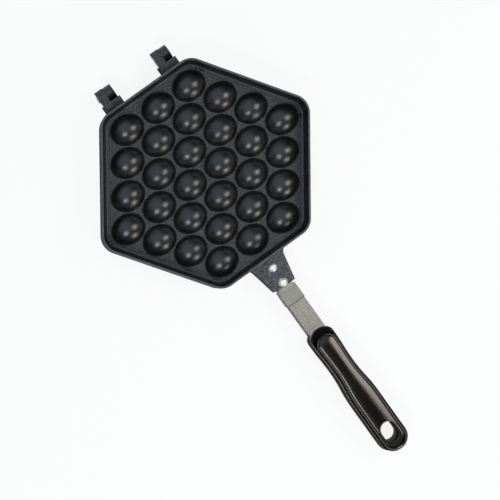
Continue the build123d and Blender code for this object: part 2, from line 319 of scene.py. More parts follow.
def coating_zones(n):
    """Zones of the casting: how coarse its surface is, where wear and painted highlights make it
    lighter, and where the tab is.
    """
    point = n.axes()
    height = n.math("SUBTRACT", point["Z"], PARTING * MM)
    away = n.math("ABSOLUTE", height)
    shift = n.math("MULTIPLY", n.math("SIGN", height), HALF_SHIFT * MM)
    x = n.math("ABSOLUTE", n.math("SUBTRACT", point["X"], shift))
    y = n.math("ABSOLUTE", point["Y"])
    sideways_share = n.math("MULTIPLY", x, math.sin(SLANT))
    across = n.math("ADD", sideways_share, n.math("MULTIPLY", y, math.cos(SLANT)))
    slanted = n.math("SUBTRACT", SLANT_REACH * MM, across)
    inset = n.math("MINIMUM", slanted, n.math("SUBTRACT", FLAT_REACH * MM, y))
    beyond = n.fall(inset, RIM_EDGE)

    from_axis = n.length(n.math("SUBTRACT", point["Y"], HINGE_Y * MM), height)
    normal_z = n.axes(n.add("ShaderNodeNewGeometry").outputs["Normal"])["Z"]
    curved = n.remap(n.math("ABSOLUTE", normal_z), *LEVEL_FACE, out_low=1.0, out_high=0.0)
    barrel = n.math("MULTIPLY", n.fall(from_axis, BARREL_EDGE), curved)
    raised = n.math("MULTIPLY", n.rise(away, RAISED_EDGE), n.math("SUBTRACT", 1.0, beyond))
    coarse = n.math("SUBTRACT", 1.0, n.math("MAXIMUM", raised, barrel))

    # Painted highlight along the rim's foot, then wear with a painted highlight along its top.
    foot_start, foot_end = FOOT_HIGHLIGHT
    foot = n.math("MULTIPLY", n.rise(inset, foot_start), n.fall(inset, foot_end))
    foot = n.math("MULTIPLY", foot, n.fall(away, FOOT_LEVEL))
    wear_and_highlight = n.math("MAXIMUM", n.rise(away, TOP_WEAR_AND_HIGHLIGHT), foot)
    return coarse, wear_and_highlight, n.fall(point["Y"], TAB_EDGE)


def coated_material():
    """Charcoal non-stick coating: speckled and coarse on plate, tab and lugs, smooth and darker
    on domes, walls and hinge barrels, and lighter along the rim's top, from wear and a painted
    highlight, and along its foot, from a painted highlight."""
    smooth_dark, smooth_light = (0.0016, 0.0018, 0.0022), (0.0034, 0.0038, 0.0045)
    plate_dark, plate_light = (0.0025, 0.0026, 0.003), (0.006, 0.0061, 0.0067)
    smooth_speck, plate_speck = (0.011, 0.012, 0.014), (0.054, 0.054, 0.056)
    tab_dark, tab_speck = (0.007, 0.007, 0.008), (0.094, 0.094, 0.102)
    # Tone of the wear and the painted highlights along the rim's top and foot.
    wear_and_highlight_tone = (0.055, 0.056, 0.059)

    n = Nodes("nonstick_coating")
    coarse, wear_and_highlight, tab = coating_zones(n)
    mottle = n.remap(n.noise(scale=160, detail=4), 0.35, 0.68)
    speckle = n.noise(scale=720, detail=3)
    dark = n.mix(mottle, smooth_dark, smooth_light)
    dark = n.mix(n.remap(speckle, 0.56, 0.74), dark, smooth_speck)
    plate = n.mix(mottle, plate_dark, plate_light)
    plate = n.mix(n.remap(speckle, 0.47, 0.66), plate, plate_speck)
    plate = n.mix(tab, plate, n.mix(n.remap(speckle, 0.45, 0.61), tab_dark, tab_speck))
    patchy = n.remap(n.noise(scale=240, detail=3), 0.30, 0.62, out_low=0.45)
    colour = n.mix(coarse, dark, plate)
    # Lighter along the rim's top (wear and a painted highlight) and along its foot (a painted
    # highlight).
    colour = n.mix(n.math("MULTIPLY", wear_and_highlight, patchy), colour, wear_and_highlight_tone)
    fine_rough = n.remap(n.noise(scale=420, detail=3), 0.3, 0.7, out_high=0.08)
    roughness = n.remap(coarse, 0.0, 1.0, out_low=0.30, out_high=0.60)
    roughness = n.math("ADD", fine_rough, roughness)
    grain = n.bump(n.math("MULTIPLY", speckle, coarse), strength=0.7, distance=0.0004)
    fine = n.noise(scale=1500, detail=2)
    normal = n.bump(fine, strength=0.3, distance=0.00006, before=grain)
    return n.finish(colour, roughness, normal, Specular_IOR_Level=0.7, Metallic=0.0)


def strap_material():
    """Rolled stainless strip: lengthwise lines and darker pits, smoother up to the second bend,
    where a dark line of painted shade lies across it."""
    dark, light = (0.30, 0.285, 0.245), (0.44, 0.42, 0.37)
    # Tone of the pits, and the tone of the painted shade at the second bend.
    pitted, bend_shade_tone = (0.19, 0.18, 0.157), (0.13, 0.125, 0.11)
    n = Nodes("brushed_strap")
    lines = n.noise(1.0, 4, n.stretched((2600, 110, 2600)))
    pits = n.noise(scale=850, detail=4)
    y = n.axes()["Y"]
    bend = SECOND_BEND_Y * MM
    rear = n.remap(y, bend - MM, bend + MM, out_low=1.0, out_high=0.35)
    colour = n.mix(n.remap(lines, 0.3, 0.7), dark, light)
    colour = n.mix(n.math("MULTIPLY", n.remap(pits, 0.46, 0.66), rear), colour, pitted)
    # Painted shade: a dark line across the strap at its second bend.
    bend_shade = n.fall(n.away(y, SECOND_BEND_Y), BEND_SHADE_EDGE)
    colour = n.mix(n.math("MULTIPLY", bend_shade, 0.75), colour, bend_shade_tone)
    roughness = n.remap(lines, 0.25, 0.75, out_low=0.52, out_high=0.66)
    relief = n.math("MULTIPLY", n.math("ADD", lines, pits), rear)
    normal = n.bump(relief, strength=0.35, distance=0.00012)
    return n.finish(colour, roughness, normal, Metallic=1.0)


def bakelite_material():
    """Glossy black moulded phenolic with faint flow marks and scuffs, matt inside the eye and
    on the flat face at the parting plane."""
    dark, light = (0.0016, 0.0014, 0.0014), (0.0036, 0.003, 0.0028)
    eye_limits = [(HOLE_WIDTH / 2 + limit) * MM for limit in EYE_EDGE]
    face_limits = [(GRIP_LEVEL + limit) * MM for limit in FACE_EDGE]
    n = Nodes("glossy_bakelite")
    flow = n.noise(1.0, 3, n.stretched((120, 30, 120)))
    scuff = n.noise(scale=900, detail=4)
    colour = n.mix(n.remap(flow, 0.35, 0.7), dark, light)
    point = n.axes()
    past = n.math("SUBTRACT", n.away(point["Y"], HOLE_CENTRE_Y), HOLE_STRAIGHT * MM)
    from_eye = n.length(n.math("MAXIMUM", past, 0.0), n.math("ABSOLUTE", point["X"]))
    eye = n.remap(from_eye, *eye_limits, out_low=0.55, out_high=0.0)
    face = n.remap(n.away(point["Z"], PARTING), *face_limits, out_low=0.4, out_high=0.0)
    gloss = n.remap(scuff, 0.45, 0.8, out_low=0.17, out_high=0.27)
    roughness = n.math("ADD", gloss, n.math("MAXIMUM", eye, face))
    normal = n.bump(flow, strength=0.1, distance=0.0002)
    tint = (1.0, 0.91, 0.82, 1.0)
    return n.finish(colour, roughness, normal, Specular_IOR_Level=0.5, Specular_Tint=tint)


def metal_material(name, dark, light, grain, smoothest, roughest):
    """Plain bright metal in two greys, with small pits."""
    n = Nodes(name)
    pits = n.noise(grain, 4)
    colour = n.mix(n.remap(pits, 0.38, 0.62), dark, light)
    roughness = n.remap(pits, 0.3, 0.7, out_low=roughest, out_high=smoothest)
    normal = n.bump(pits, strength=0.25, distance=0.00008)
    return n.finish(colour, roughness, normal, Metallic=1.0)


COATING = coated_material()
STRAP = strap_material()
BAKELITE = bakelite_material()
RIVET = metal_material("rivet_steel", (0.64, 0.64, 0.63), (0.84, 0.84, 0.83), 1300, 0.40, 0.52)
PIN = metal_material("pin_steel", (0.45, 0.45, 0.45), (0.72, 0.72, 0.72), 1500, 0.25, 0.4)
SCREW = metal_material("screw_steel", (0.38, 0.38, 0.37), (0.6, 0.6, 0.59), 1500, 0.3, 0.45)

# --- Mesh helpers ------------------------------------------------------------------------------


def new_mesh(name, verts, faces):
    """Mesh object from points in millimetres."""
    mesh = bpy.data.meshes.new(name)
    mesh.from_pydata([(x * MM, y * MM, z * MM) for x, y, z in verts], [], faces)
    mesh.validate()
    bm = bmesh.new()
    bm.from_mesh(mesh)
    bmesh.ops.recalc_face_normals(bm, faces=bm.faces)
    bm.to_mesh(mesh)
    bm.free()
    obj = bpy.data.objects.new(name, mesh)
    bpy.context.scene.collection.objects.link(obj)
    return obj


def settled(obj):
    """The object with its modifiers applied."""
    bpy.context.view_layer.update()
    graph = bpy.context.evaluated_depsgraph_get()
    mesh = bpy.data.meshes.new_from_object(obj.evaluated_get(graph))
    obj.modifiers.clear()
    obj.data = mesh
    return obj


def combined(obj, operation, *tools):
    """The object cut by, limited to or joined with each tool. The tools are used up."""
    for tool in tools:
        boolean = obj.modifiers.new("cut", "BOOLEAN")
        boolean.operation = operation
        boolean.solver = "EXACT"
        boolean.object = tool
    settled(obj)
    for tool in tools:
        bpy.data.objects.remove(tool)
    return obj


def bevelled(obj, width, segments=3):
    bevel = obj.modifiers.new("bevel", "BEVEL")
    bevel.width = width * MM
    bevel.segments = segments
    bevel.limit_method = "ANGLE"
    bevel.angle_limit = math.radians(BEVEL_ANGLE)
    return settled(obj)


def merged(obj, others):
    """One object with all their meshes."""
    bm = bmesh.new()
    for part in (obj, *others):
        bm.from_mesh(part.data)
    bm.to_mesh(obj.data)
    bm.free()
    for part in others:
        bpy.data.objects.remove(part)
    return obj


def turned_over(source, name):
    """The same mesh on the lower half: turned half a turn about the handle's axis."""
    mesh = source.data.copy()
    middle = Matrix.Translation((0, 0, PARTING * MM))
    mesh.transform(middle @ Matrix.Rotation(math.pi, 4, "Y") @ middle.inverted())
    obj = bpy.data.objects.new(name, mesh)
    bpy.context.scene.collection.objects.link(obj)
    return obj


def place_pair(upper, lower, node, material):
    """Material, smooth shading that keeps flat faces flat, and each half's body, with the CAD node
    it replaces hidden.
    """
    for half, piece in (("upper", upper), ("lower", lower)):
        piece.data.materials.clear()
        piece.data.materials.append(material)
        piece.data.shade_smooth()
        piece.data.set_sharp_from_angle(angle=math.radians(SHARP_ANGLE))
        piece.modifiers.new("weighted", "WEIGHTED_NORMAL").keep_sharp = True
        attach(piece, f"{half}_half")
        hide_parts(f"{half}_{node}")


def bands(levels, count):
    """Quads between neighbouring rings of points."""
    faces = []
    for level in range(levels - 1):
        start = level * count
        for i in range(count):
            j = (i + 1) % count
            faces.append([start + i, start + j, start + count + j, start + count + i])
    return faces


def cap(first, count):
    """Strips across a ring of points whose two sides mirror each other, from its first point."""
    faces = [[first, first + 1, first + count - 1]]
    for i in range(2, count // 2):
        faces.append([first + i - 1, first + i, first + count - i, first + count - i + 1])
    middle = first + count // 2
    return faces + [[middle - 1, middle, middle + 1]]


def stack(name, rings):
    """Closed mesh through rings of equally many points, flat at both ends."""
    count = len(rings[0])
    verts = [point for ring in rings for point in ring]
    ends = [list(range(count)), list(range(len(verts) - count, len(verts)))]
    return new_mesh(name, verts, ends + bands(len(rings), count))


def prism(name, outline, low, high, place):
    """Outline (u, v) drawn out from low to high; place(u, v, w) gives the point."""
    return stack(name, [[place(u, v, w) for u, v in outline] for w in (low, high)])


def upright(u, v, w):
    return (u, v, PARTING + w)


def sideways(u, v, w):
    return (w, u, PARTING + v)


def arc(centre, radius, start, end, steps):
    angles = [math.radians(start + (end - start) * i / steps) for i in range(steps + 1)]
    return [(centre[0] + radius * math.cos(a), centre[1] + radius * math.sin(a)) for a in angles]


def circle(centre, radius, steps):
    return arc(centre, radius, 0, 360, steps)[:-1]


def drill(y, radius, top=THROUGH[1]):
    """Upright round cutter in the middle of a half, from below it."""
    return prism("drill", circle((HALF_SHIFT, y), radius, 32), THROUGH[0], top, upright)


def rounded_path(points, radii, steps=5):
    """Open polyline with its inner corners rounded."""
    made = [points[0]]
    for before, corner, after, radius in zip(points, points[1:], points[2:], radii):
        corner_v = Vector(corner)
        to_before = (Vector(before) - corner_v).normalized()
        to_after = (Vector(after) - corner_v).normalized()
        half = to_before.angle(to_after) / 2
        start = corner_v + to_before * radius / math.tan(half)
        centre = corner_v + (to_before + to_after).normalized() * radius / math.sin(half)
        first = start - centre
        turn = (corner_v + to_after * radius / math.tan(half) - centre).angle_signed(first)
        for i in range(steps + 1):
            made.append(tuple(centre + Matrix.Rotation(turn * i / steps, 2) @ first))
    return made + [points[-1]]


# --- Casting -----------------------------------------------------------------------------------

SIDE_ANGLES = [math.degrees(a) for a in (math.pi / 2 - SLANT, math.pi / 2, math.pi / 2 + SLANT)]
SIDE_ANGLES += [angle + 180 for angle in SIDE_ANGLES]
SIDE_REACHES = [SLANT_REACH, FLAT_REACH, SLANT_REACH] * 2
CORNER_STEPS = 10
SIDE_STEPS = 14

# Points between the bubbles, and how far they keep from what else has points
GRID = 1.5
MARK_CLEARANCE = 0.6
BUBBLE_CLEARANCE = 0.2
RIM_CLEARANCE = 0.7
BLEND_REACH = 2.0  # past a bubble, where its blend has ended
HALVINGS = 30  # in the search for a bubble's foot


@dataclass
class Field:
    """A plate with its bubbles: its shape, and how finely it is meshed."""

    size: tuple  # half length and half width of a bubble
    base: float  # height of the plate
    blend: float  # softness where a bubble meets it
    inset: float  # where it ends, inside the rim's outline
    around: int
    levels: int
    past: float  # one more ring of points lies this far outside a bubble
    marks: list


COOKING_FIELD = Field(CELL, COOKING_LEVEL, 0.5, COOKING_FIELD_INSET, 40, 12, 0.12, [])
TOP_FIELD = Field(DOME, PLATE_LEVEL, 1.5, TOP_FIELD_INSET, 56, 15, 0.14, MARKS)


def rim_ring(inset):
    """Rounded hexagon that lies this far inside the rim's outline."""
    arcs = []
    for i in range(6):
        j = (i + 1) % 6
        first, second = math.radians(SIDE_ANGLES[i]), math.radians(SIDE_ANGLES[j])
        normals = Matrix(((math.cos(first), math.sin(first)), (math.cos(second), math.sin(second))))
        reaches = Vector((SIDE_REACHES[i] - RIM_CORNER, SIDE_REACHES[j] - RIM_CORNER))
        centre = normals.inverted() @ reaches
        end = SIDE_ANGLES[j] + (360 if j == 0 else 0)
        arcs.append(arc(centre, RIM_CORNER - inset, SIDE_ANGLES[i], end, CORNER_STEPS))
    ring = []
    for i in range(6):
        ring += arcs[i]
        start, end = Vector(arcs[i][-1]), Vector(arcs[(i + 1) % 6][0])
        ring += [tuple(start.lerp(end, k / SIDE_STEPS)) for k in range(1, SIDE_STEPS)]
    return ring


def bubble_heights(x, y, size):
    """Heights of an oval bubble over points relative to its middle; below zero outside it."""
    centre, end_radius, side_radius = oval_arcs(*size)
    across = np.abs(x)
    side = np.sqrt(np.maximum(side_radius**2 - across**2, 0)) - centre
    end = np.sqrt(np.maximum(end_radius**2 - (across - centre) ** 2, 0))
    radius = np.where(across <= side_radius / math.sqrt(2), side, end)
    inside = radius**2 - y**2
    outside_level = -5.0
    return np.where(inside > 0, np.sqrt(np.maximum(inside, 0)), outside_level)


def smooth_max(first, second, blend):
    near = np.maximum(blend - np.abs(first - second), 0) / blend
    return np.maximum(first, second) + near**2 * blend / 4


def field_heights(points, field):
    """Heights of a field over points from the half's middle."""
    x, y = points[:, 0], points[:, 1]
    height = np.full(len(points), field.base)
    reach_x, reach_y = (half + BLEND_REACH for half in field.size)
    for cx, cy in CELL_POINTS:
        near = (np.abs(x - cx) < reach_x) & (np.abs(y - cy) < reach_y)
        bubble = bubble_heights(x[near] - cx, y[near] - cy, field.size)
        height[near] = smooth_max(height[near], bubble, field.blend)
    for mx, my in field.marks:
        away = np.hypot(x - mx, y - my)
        height -= MARK_DEPTH * np.clip((MARK_RADIUS - away) / MARK_EDGE + 0.5, 0, 1)
    return height


def bubble_rings(field):
    """Points over one bubble: rings that crowd towards its foot, and one just past it."""
    lean = math.acos(field.base / field.size[1])
    shares = [math.sin(lean * i / field.levels) for i in range(1, field.levels + 1)]
    points = [(0.0, 0.0)]
    for k in range(field.around):
        angle = 2 * math.pi * k / field.around
        low, high = 0.0, field.size[0]
        for _ in range(HALVINGS):
            middle = (low + high) / 2
            spot = np.array([middle * math.cos(angle)]), np.array([middle * math.sin(angle)])
            if bubble_heights(*spot, field.size)[0] > field.base:
                low = middle
            else:
                high = middle
        reaches = [low * share / math.sin(lean) for share in shares] + [low + field.past]
        points += [(r * math.cos(angle), r * math.sin(angle)) for r in reaches]
    return points


def between_bubbles(x, y, field):
    """Whether a grid point keeps clear of the marks, the bubbles and the rim."""
    if any(math.hypot(x - mx, y - my) < MARK_RADIUS + MARK_CLEARANCE for mx, my in field.marks):
        return False
    half_x, half_y = (half + BUBBLE_CLEARANCE for half in field.size)
    if any(((x - cx) / half_x) ** 2 + ((y - cy) / half_y) ** 2 <= 1 for cx, cy in CELL_POINTS):
        return False
    side = max(
        x * math.cos(math.radians(a)) + y * math.sin(math.radians(a)) - reach
        for a, reach in zip(SIDE_ANGLES, SIDE_REACHES)
    )
    return side < -(field.inset + RIM_CLEARANCE)


def field_points(field):
    """Points of a field: over the bubbles, round the marks and between them."""
    rings = bubble_rings(field)
    points = [(cx + x, cy + y) for cx, cy in CELL_POINTS for x, y in rings]
    for mark in field.marks:
        for radius in (MARK_RADIUS - MARK_EDGE, MARK_RADIUS, MARK_RADIUS + MARK_EDGE):
            points += circle(mark, radius, 24)
    rows = int(FLAT_REACH / GRID)
    columns = int(SLANT_REACH / math.sin(SLANT) / GRID)
    for i in range(-rows, rows + 1):
        for j in range(-columns, columns + 1):
            x, y = (j + 0.5 * (i % 2)) * GRID, i * GRID
            if between_bubbles(x, y, field):
                points.append((x, y))
    return points


def filled(ring, points):
    """Triangles through a ring and all the points, out to their convex hull."""
    coords = [Vector(p) for p in (*ring, *points)]
    edges = [(i, (i + 1) % len(ring)) for i in range(len(ring))]
    whole_hull = 0
    verts, _, faces, origins, _, _ = delaunay_2d_cdt(coords, edges, [], whole_hull, 1e-5)
    return verts, [list(face) for face in faces], origins


def casting_shell(name):
    """Rim, plate, domes and cells of the upper half, as one closed mesh."""
    profile = rounded_path(
        [
            (COOKING_FIELD_INSET, COOKING_LEVEL),
            (CONTACT_LAND, COOKING_LEVEL),
            (CONTACT_LAND, HALF_GAP),
            (0.0, HALF_GAP),
            (0.0, RIM_TOP_LEVEL),
            (RIM_TOP, RIM_TOP_LEVEL),
            (RIM_FOOT, PLATE_LEVEL),
            (TOP_FIELD_INSET, PLATE_LEVEL),
        ],
        PROFILE_RADII,
    )
    rings = [rim_ring(inset) for inset, _ in profile]
    count = len(rings[0])
    verts = []
    for ring, (_, height) in zip(rings, profile):
        verts += [(x + HALF_SHIFT, y, PARTING + height) for x, y in ring]
    faces = bands(len(rings), count)
    top_start = (len(rings) - 1) * count
    for start, ring, field in ((0, rings[0], COOKING_FIELD), (top_start, rings[-1], TOP_FIELD)):
        flat, triangles, origins = filled(ring, field_points(field))
        heights = field_heights(np.array([tuple(spot) for spot in flat]), field)
        place = {}
        for index, ((x, y), height) in enumerate(zip(flat, heights)):
            on_ring = [origin for origin in origins[index] if origin < count]
            if on_ring:
                place[index] = start + on_ring[0]
            else:
                place[index] = len(verts)
                verts.append((x + HALF_SHIFT, y, PARTING + float(height)))
        faces += [[place[i] for i in triangle] for triangle in triangles]
    return new_mesh(name, verts, faces)


def tab_body():
    """Handle tab, flared into the rim's wall, with the strap's channel below."""
    root_half = TAB_END_HALF + TAB_LENGTH * math.tan(math.radians(TAB_FLARE))
    wide_half = root_half + 2 * TAB_ROOT_FILLET
    root_y = -(FLAT_REACH - TAB_OVERLAP)
    corners = [(wide_half, root_y), (root_half, root_y), (TAB_END_HALF, TAB_END_Y), (0.0, TAB_END_Y)]
    half = [(wide_half, -(FLAT_REACH - RIM_TOP))]
    half += rounded_path(corners, (TAB_ROOT_FILLET, TAB_CORNER), 8)
    outline = half + [(-x, y) for x, y in reversed(half[:-1])]
    outline = [(x + HALF_SHIFT, y) for x, y in outline]
    body = bevelled(prism("tab", outline, *TAB_LEVELS, upright), TAB_BEVEL)
    channel_half = TONGUE_WIDTH / 2 + CHANNEL_GAP
    channel_y = -(FLAT_REACH + STRAP_END_GAP - CHANNEL_GAP)
    left, right = HALF_SHIFT - channel_half, HALF_SHIFT + channel_half
    end_y = TAB_END_Y - PAST
    channel = [(left, channel_y), (right, channel_y), (right, end_y), (left, end_y)]
    cutters = [prism("channel", channel, 0, STRAP_LEVEL + STRAP_THICKNESS, upright)]
    cutters += [drill(y, SHANK_RADIUS) for y in RIVET_YS]
    return combined(body, "DIFFERENCE", *cutters)


def lug_body(side, bore_radius):
    """One lug of the upper half: a block, and a bored arm with its knuckle and flat top."""
    left = HALF_SHIFT + side * LUG_CENTRE - LUG_WIDTH / 2
    right = left + LUG_WIDTH
    inner_y = FLAT_REACH - RIM_TOP
    end_y = FLAT_REACH + BLOCK_DEPTH
    block = [(left, inner_y), (right, inner_y), (right, end_y), (left, end_y)]
    body = prism("block", block, HALF_GAP + LUG_OFFSET, KNUCKLE_RADIUS, upright)
    low, high = HALF_GAP + 2 * LUG_OFFSET, KNUCKLE_RADIUS - LUG_OFFSET
    dip = math.degrees(math.asin(low / KNUCKLE_RADIUS))
    arm_y = inner_y + ARM_START
    outline = [(arm_y, low)]
    outline += arc((HINGE_Y, 0), KNUCKLE_RADIUS, 180 - dip, 360, 28)
    outline += [(HINGE_Y + KNUCKLE_RADIUS, high), (arm_y, high)]
    arm = prism("arm", outline, left + LUG_OFFSET, left + ARM_WIDTH, sideways)
    body = bevelled(combined(body, "UNION", arm), LUG_BEVEL)
    ring = circle((HINGE_Y, 0), bore_radius, 48)
    bore = prism("bore", ring, left - PAST, left + ARM_WIDTH + PAST, sideways)
    return combined(body, "DIFFERENCE", bore)


def lug_set(half):
    left, right = (lug_body(side, BORE_RADIUS[half]) for side in (-1, 1))
    return merged(left, [right])


upper_casting = merged(casting_shell("upper_casting"), [tab_body()])
lower_lugs = lug_set("lower")
lower_casting = turned_over(upper_casting, "lower_casting")
merged(lower_casting, [turned_over(lower_lugs, "lugs")])
bpy.data.objects.remove(lower_lugs)
merged(upper_casting, [lug_set("upper")])
place_pair(upper_casting, lower_casting, "plate", COATING)

# --- Strap -------------------------------------------------------------------------------------


def strap_piece(name):
    """Joggled strap with a tongue under the tab and two steps in its width."""
    start_y = -(FLAT_REACH + STRAP_END_GAP)
    end_y = GRIP_FRONT_Y - TANG_LENGTH
    shoulder_y = TAB_END_Y - TONGUE_REACH
    faces = []
    for level in (STRAP_LEVEL, STRAP_LEVEL + STRAP_THICKNESS):
        path = [
            (start_y, level),
            (FIRST_BEND_Y, level),
            (SECOND_BEND_Y, level + JOGGLE_RISE),
            (end_y, level + JOGGLE_RISE),
        ]
        faces.append(rounded_path(path, (BEND_RADIUS, BEND_RADIUS), 6))
    blank = (HALF_SHIFT - BLANK_HALF, HALF_SHIFT + BLANK_HALF)
    side = prism(name, faces[0] + faces[1][::-1], *blank, sideways)
    half = [
        (TONGUE_WIDTH / 2, start_y),
        (TONGUE_WIDTH / 2, shoulder_y),
        (STEP_WIDTH / 2, shoulder_y),
        (STEP_WIDTH / 2, SECOND_BEND_Y),
        (STRAP_WIDTH / 2, SECOND_BEND_Y),
        (STRAP_WIDTH / 2, end_y),
    ]
    outline = [(HALF_SHIFT + x, y) for x, y in half]
    outline += [(HALF_SHIFT - x, y) for x, y in reversed(half)]
    combined(side, "INTERSECT", prism("plan", outline, *THROUGH, upright))
    holes = [drill(y, SHANK_RADIUS) for y in (*RIVET_YS, GRIP_FRONT_Y - SCREW_OFFSET)]
    return combined(bevelled(side, STRAP_BEVEL, 2), "DIFFERENCE", *holes)


upper_strap = strap_piece("upper_strap_strip")
lower_strap = turned_over(upper_strap, "lower_strap_strip")
place_pair(upper_strap, lower_strap, "strap", STRAP)

# --- Grip --------------------------------------------------------------------------------------

# Front of the outline, its roundness, and half widths at front, waist and eye
FLANGE = {"front_y": GRIP_FRONT_Y, "front_round": 9.0, "front": 11.5, "waist": 10.5, "eye": 12.9}
BODY = {"front_y": GRIP_FRONT_Y - 6.8, "front_round": 7.2, "front": 8.3, "waist": 7.5, "eye": 10.1}
GRIP_EYE_Y = GRIP_END_Y + FLANGE["eye"]
SPINE_FRONT_Y = BODY["front_y"] - BODY["front"]

# Eye with a rounded mouth: height, and how much wider it is there
MOUTH = (
    (-1.0, 0.9),
    (GRIP_LEVEL, 0.5),
    (GRIP_LEVEL + 0.6, 0.1),
    (GRIP_LEVEL + 1.2, 0.0),
    (GRIP_TOP - 2.6, 0.0),
    (GRIP_TOP - 1.6, 0.12),
    (GRIP_TOP - 0.9, 0.4),
    (GRIP_TOP - 0.4, 0.85),
    (GRIP_TOP + 0.3, 1.8),
)


def flank(start, end, start_half, end_half, steps):
    """Two equal arcs that lead from one half width to another, each end along the grip."""
    half_run = (start - end) / 2
    drop = abs(start_half - end_half) / 2
    radius = (drop**2 + half_run**2) / (2 * drop)
    points = []
    for i in range(1, steps + 1):
        run = 2 * half_run * i / steps
        near = run if run <= half_run else 2 * half_run - run
        sag = radius - math.sqrt(radius**2 - near**2)
        way = sag if run <= half_run else 2 * drop - sag
        points.append((start_half + math.copysign(way, end_half - start_half), start - run))
    return points


def grip_outline(front_y, front_round, front, waist, eye):
    """Right-hand side from the nose to the end, then the left-hand side back again."""
    centre, corner, nose = oval_arcs(front, front_round)
    shoulder = front_y - front_round
    waist_y = GRIP_FRONT_Y - WAIST_OFFSET
    swell_y = GRIP_FRONT_Y - SWELL_OFFSET
    right = arc((0, shoulder - centre), nose, 90, 45, 6)
    right += arc((centre, shoulder), corner, 45, 0, 6)[1:]
    right += flank(shoulder, waist_y, front, waist, 14)
    right += flank(waist_y, swell_y, waist, eye, 16)
    right += [(eye, swell_y + (GRIP_EYE_Y - swell_y) * i / 14) for i in range(1, 15)]
    right += arc((0, GRIP_EYE_Y), eye, 0, -90, 16)[1:]
    return right + [(-x, y) for x, y in reversed(right[1:-1])]


def moved_in(outline, amount):
    """The outline moved inwards along its normals."""
    count = len(outline)
    made = []
    for i, (x, y) in enumerate(outline):
        ahead, behind = outline[(i + 1) % count], outline[i - 1]
        along = Vector((ahead[0] - behind[0], ahead[1] - behind[1])).normalized()
        made.append((x + along.y * amount, y - along.x * amount))
    return made


def crown_profile():
    """Body from its side up over the shoulder to the middle: share of the half width, height."""
    start = math.atan(2 * CROWN_SAG / (CROWN_REACH * NOMINAL_HALF))
    end = math.radians(SHOULDER_END)
    centre_x = CROWN_REACH * NOMINAL_HALF - SHOULDER_RADIUS * math.sin(start)
    centre_z = GRIP_TOP - CROWN_SAG - SHOULDER_RADIUS * math.cos(start)
    shoulder = []
    for i in range(SHOULDER_STEPS + 1):
        lean = end + (start - end) * i / SHOULDER_STEPS
        reach = (centre_x + SHOULDER_RADIUS * math.sin(lean)) / NOMINAL_HALF
        shoulder.append((reach, centre_z + SHOULDER_RADIUS * math.cos(lean)))
    reach, height = shoulder[0]
    side = [(1.0, FLANGE_TOP + BODY_FOOT), (1.0 - (1.0 - reach) / 2, (FLANGE_TOP + height) / 2)]
    shares = [1 - i / CROWN_STEPS for i in range(1, CROWN_STEPS)]
    crown = [(CROWN_REACH * share, GRIP_TOP - CROWN_SAG * share**2) for share in shares]
    return side + shoulder + crown


def body_ring(outline, spread, height):
    """One ring of the body, drawn in towards the spine and lifted where the body is slimmer."""
    share = (height - FLANGE_TOP) / (GRIP_TOP - FLANGE_TOP)
    crowned = min(1.0, spread / CROWN_REACH) ** 2
    ring = []
    for x, y in outline:
        spine_y = min(max(y, GRIP_EYE_Y), SPINE_FRONT_Y)
        if GRIP_EYE_Y < y < SPINE_FRONT_Y:
            half = abs(x)
        else:
            half = BODY["eye" if y < GRIP_FRONT_Y - MIDDLE_OFFSET else "front"]
        lift = CROWN_SAG * (1 - half / BODY["eye"]) * crowned
        level = height + (lift - x * spread * CROWN_LEAN - CROWN_DROP) * share
        ring.append((x * spread, spine_y + (y - spine_y) * spread, level))
    return ring


def grip_cutters():
    """Eye, socket of the strap, and seat and hole of the screw."""
    mouth = []
    for level, flare in MOUTH:
        radius = HOLE_WIDTH / 2 + flare
        ring = arc((0, HOLE_CENTRE_Y + HOLE_STRAIGHT), radius, 0, 180, 24)
        ring += arc((0, HOLE_CENTRE_Y - HOLE_STRAIGHT), radius, 180, 360, 24)
        mouth.append([(x + HALF_SHIFT, y, PARTING + level) for x, y in ring])
    half = STRAP_WIDTH / 2 + SOCKET_GAP
    left, right = HALF_SHIFT - half, HALF_SHIFT + half
    back, front = GRIP_FRONT_Y - TANG_LENGTH - SOCKET_GAP, GRIP_FRONT_Y + PAST
    tang = STRAP_LEVEL + JOGGLE_RISE
    levels = (tang - SOCKET_GAP, tang + STRAP_THICKNESS + SOCKET_GAP)
    socket = [(left, back), (right, back), (right, front), (left, front)]
    screw_y = GRIP_FRONT_Y - SCREW_OFFSET
    return (
        stack("eye", mouth),
        prism("socket", socket, *levels, upright),
        drill(screw_y, SEAT_RADIUS, SEAT_TOP),
        drill(screw_y, SCREW_RADIUS, SCREW_TOP),
    )


def grip_piece(name):
    """Flange with a groove inside its lip, and a crowned body."""
    flange, body = grip_outline(**FLANGE), grip_outline(**BODY)
    corners = [
        (FLANGE_INNER, GRIP_LEVEL),
        (0.0, GRIP_LEVEL),
        (0.0, FLANGE_TOP),
        (LIP_WIDTH, FLANGE_TOP),
    ]
    flange_path = rounded_path(corners, (FLANGE_ROUND, FLANGE_ROUND), 6)
    rings = [[(x, y, level) for x, y in moved_in(flange, inset)] for inset, level in flange_path]
    groove = FLANGE_TOP - GROOVE_DEPTH
    rings.append([(x, y, groove) for x, y in moved_in(body, -GROOVE_FLOOR)])
    rings.append([(x, y, groove - GROOVE_FALL) for x, y in body])
    rings += [body_ring(body, spread, height) for spread, height in crown_profile()]
    count = len(flange)
    verts = [(x + HALF_SHIFT, y, PARTING + z) for ring in rings for x, y, z in ring]
    faces = bands(len(rings), count) + cap((len(rings) - 1) * count, count) + cap(0, count)
    return combined(new_mesh(name, verts, faces), "DIFFERENCE", *grip_cutters())


upper_grip = grip_piece("upper_grip_moulding")
lower_grip = turned_over(upper_grip, "lower_grip_moulding")
place_pair(upper_grip, lower_grip, "grip", BAKELITE)

# --- Carried-over nodes ------------------------------------------------------------------------

